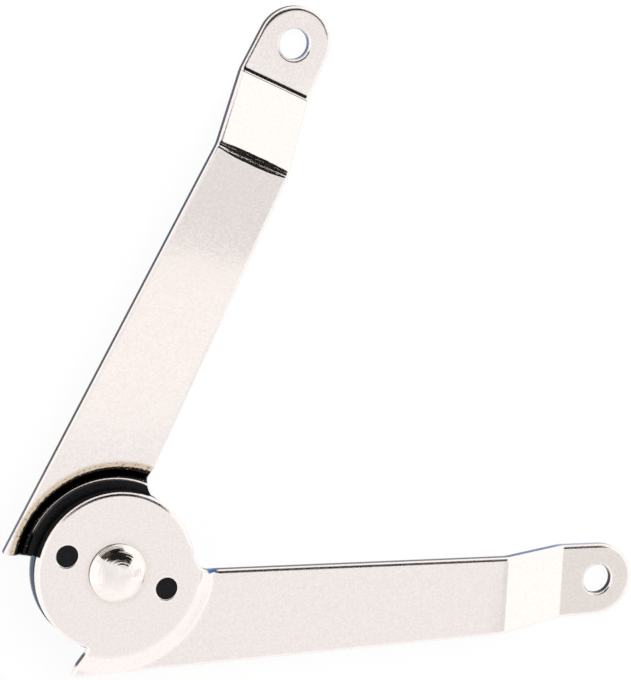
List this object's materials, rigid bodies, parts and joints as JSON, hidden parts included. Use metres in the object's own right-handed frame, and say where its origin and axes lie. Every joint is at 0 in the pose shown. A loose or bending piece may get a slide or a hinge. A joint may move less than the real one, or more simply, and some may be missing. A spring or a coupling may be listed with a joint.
{
  "type": "lid stay",
  "caption": "Friction lid stay: two offset stamped steel arms on a domed rivet hold a lid at any angle; each ends in a screw eye.",
  "frame": {"origin": "the pivot's axis at the mounting plane, where the rivet's tail and the backs of both eyes lie", "axes": "+Z out of the mounting plane towards the rivet's domed head; +X along the front arm, from the pivot towards its eye; the rear arm lies on the +Y side"},
  "size_m": [0.1071, 0.1023, 0.0114],
  "materials": {
    "nickel_steel": "bright nickel plate over a finely rippled stamped sheet",
    "nickel_rivet": "bright nickel plate",
    "black_plastic": "black moulded plastic",
    "washer_steel": "plain zinc plate"
  },
  "bodies": {
    "front": {"front_arm": "nickel_steel", "pivot_rivet": "nickel_rivet", "friction_disc": "black_plastic", "backing_washer": "washer_steel", "spring_washer": "washer_steel"},
    "rear": {"rear_arm": "nickel_steel", "friction_lining": "black_plastic"}
  },
  "joints": [
    {"name": "pivot", "type": "hinge", "parent": "front", "child": "rear", "pos_m": [0, 0, 0], "axis": [0, 0, 1], "range_deg": [-66.6, 80]}
  ]
}
